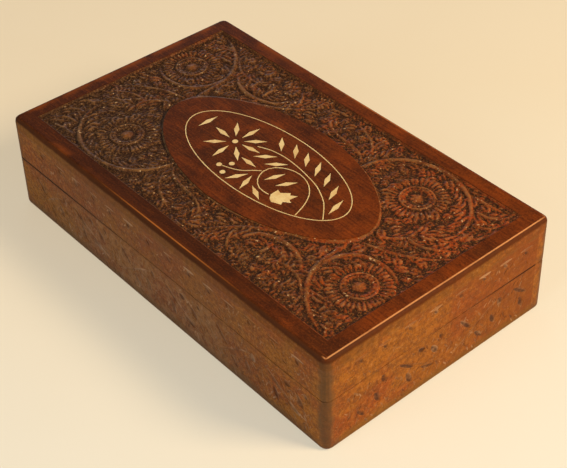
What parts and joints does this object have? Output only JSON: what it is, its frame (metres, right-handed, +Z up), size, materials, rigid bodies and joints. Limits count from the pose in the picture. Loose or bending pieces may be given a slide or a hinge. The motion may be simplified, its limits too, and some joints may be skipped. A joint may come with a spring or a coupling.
{
  "type": "carved wooden box",
  "caption": "Low rectangular wooden box with a hinged lid, relief carving on its lid and sides, and a bone floral spray inlaid in an oval on the lid.",
  "frame": {"origin": "centre of the underside, on the face the box rests on", "axes": "+X along the length, -Y towards the front (the hinges are at +Y), +Z up through the lid"},
  "size_m": [0.25, 0.147, 0.058],
  "materials": {
    "lid_wood": "dark red-brown lacquered hardwood, carved",
    "side_wood": "orange-brown hardwood, carved, worn satin lacquer",
    "floor_wood": "plain sawn hardwood",
    "bone": "polished cream bone",
    "brass": "aged satin brass"
  },
  "bodies": {
    "base": {"base_front_board": "side_wood", "base_back_board": "side_wood", "base_left_board": "side_wood", "base_right_board": "side_wood", "base_floor_board": "floor_wood", "left_hinge_base_leaf": "brass", "left_hinge_pin": "brass", "left_hinge_base_screw_1": "brass", "left_hinge_base_screw_2": "brass", "right_hinge_base_leaf": "brass", "right_hinge_pin": "brass", "right_hinge_base_screw_1": "brass", "right_hinge_base_screw_2": "brass"},
    "lid": {"lid_front_board": "side_wood", "lid_back_board": "side_wood", "lid_left_board": "side_wood", "lid_right_board": "side_wood", "lid_top_board": "lid_wood", "inlay_ring": "bone", "stem_main": "bone", "stem_spiral": "bone", "stem_curl": "bone", "flower_eye": "bone", "petal_1": "bone", "petal_2": "bone", "petal_3": "bone", "petal_4": "bone", "petal_5": "bone", "petal_6": "bone", "petal_7": "bone", "petal_8": "bone", "leaf_lone": "bone", "leaf_outer_1": "bone", "leaf_outer_2": "bone", "leaf_outer_3": "bone", "leaf_outer_4": "bone", "leaf_outer_5": "bone", "leaf_outer_6": "bone", "leaf_outer_7": "bone", "leaf_inner_1": "bone", "leaf_inner_2": "bone", "leaf_inner_3": "bone", "leaf_curl_1": "bone", "leaf_curl_2": "bone", "leaf_lower_1": "bone", "leaf_lower_2": "bone", "leaf_lower_3": "bone", "berry_1": "bone", "berry_2": "bone", "berry_3": "bone", "tulip_bud": "bone", "left_hinge_lid_leaf": "brass", "left_hinge_lid_screw_1": "brass", "left_hinge_lid_screw_2": "brass", "right_hinge_lid_leaf": "brass", "right_hinge_lid_screw_1": "brass", "right_hinge_lid_screw_2": "brass"}
  },
  "joints": [
    {"name": "lid_hinge", "type": "hinge", "parent": "base", "child": "lid", "pos_m": [0, 0.071, 0.032], "axis": [-1, 0, 0], "range_deg": [0, 100]}
  ]
}
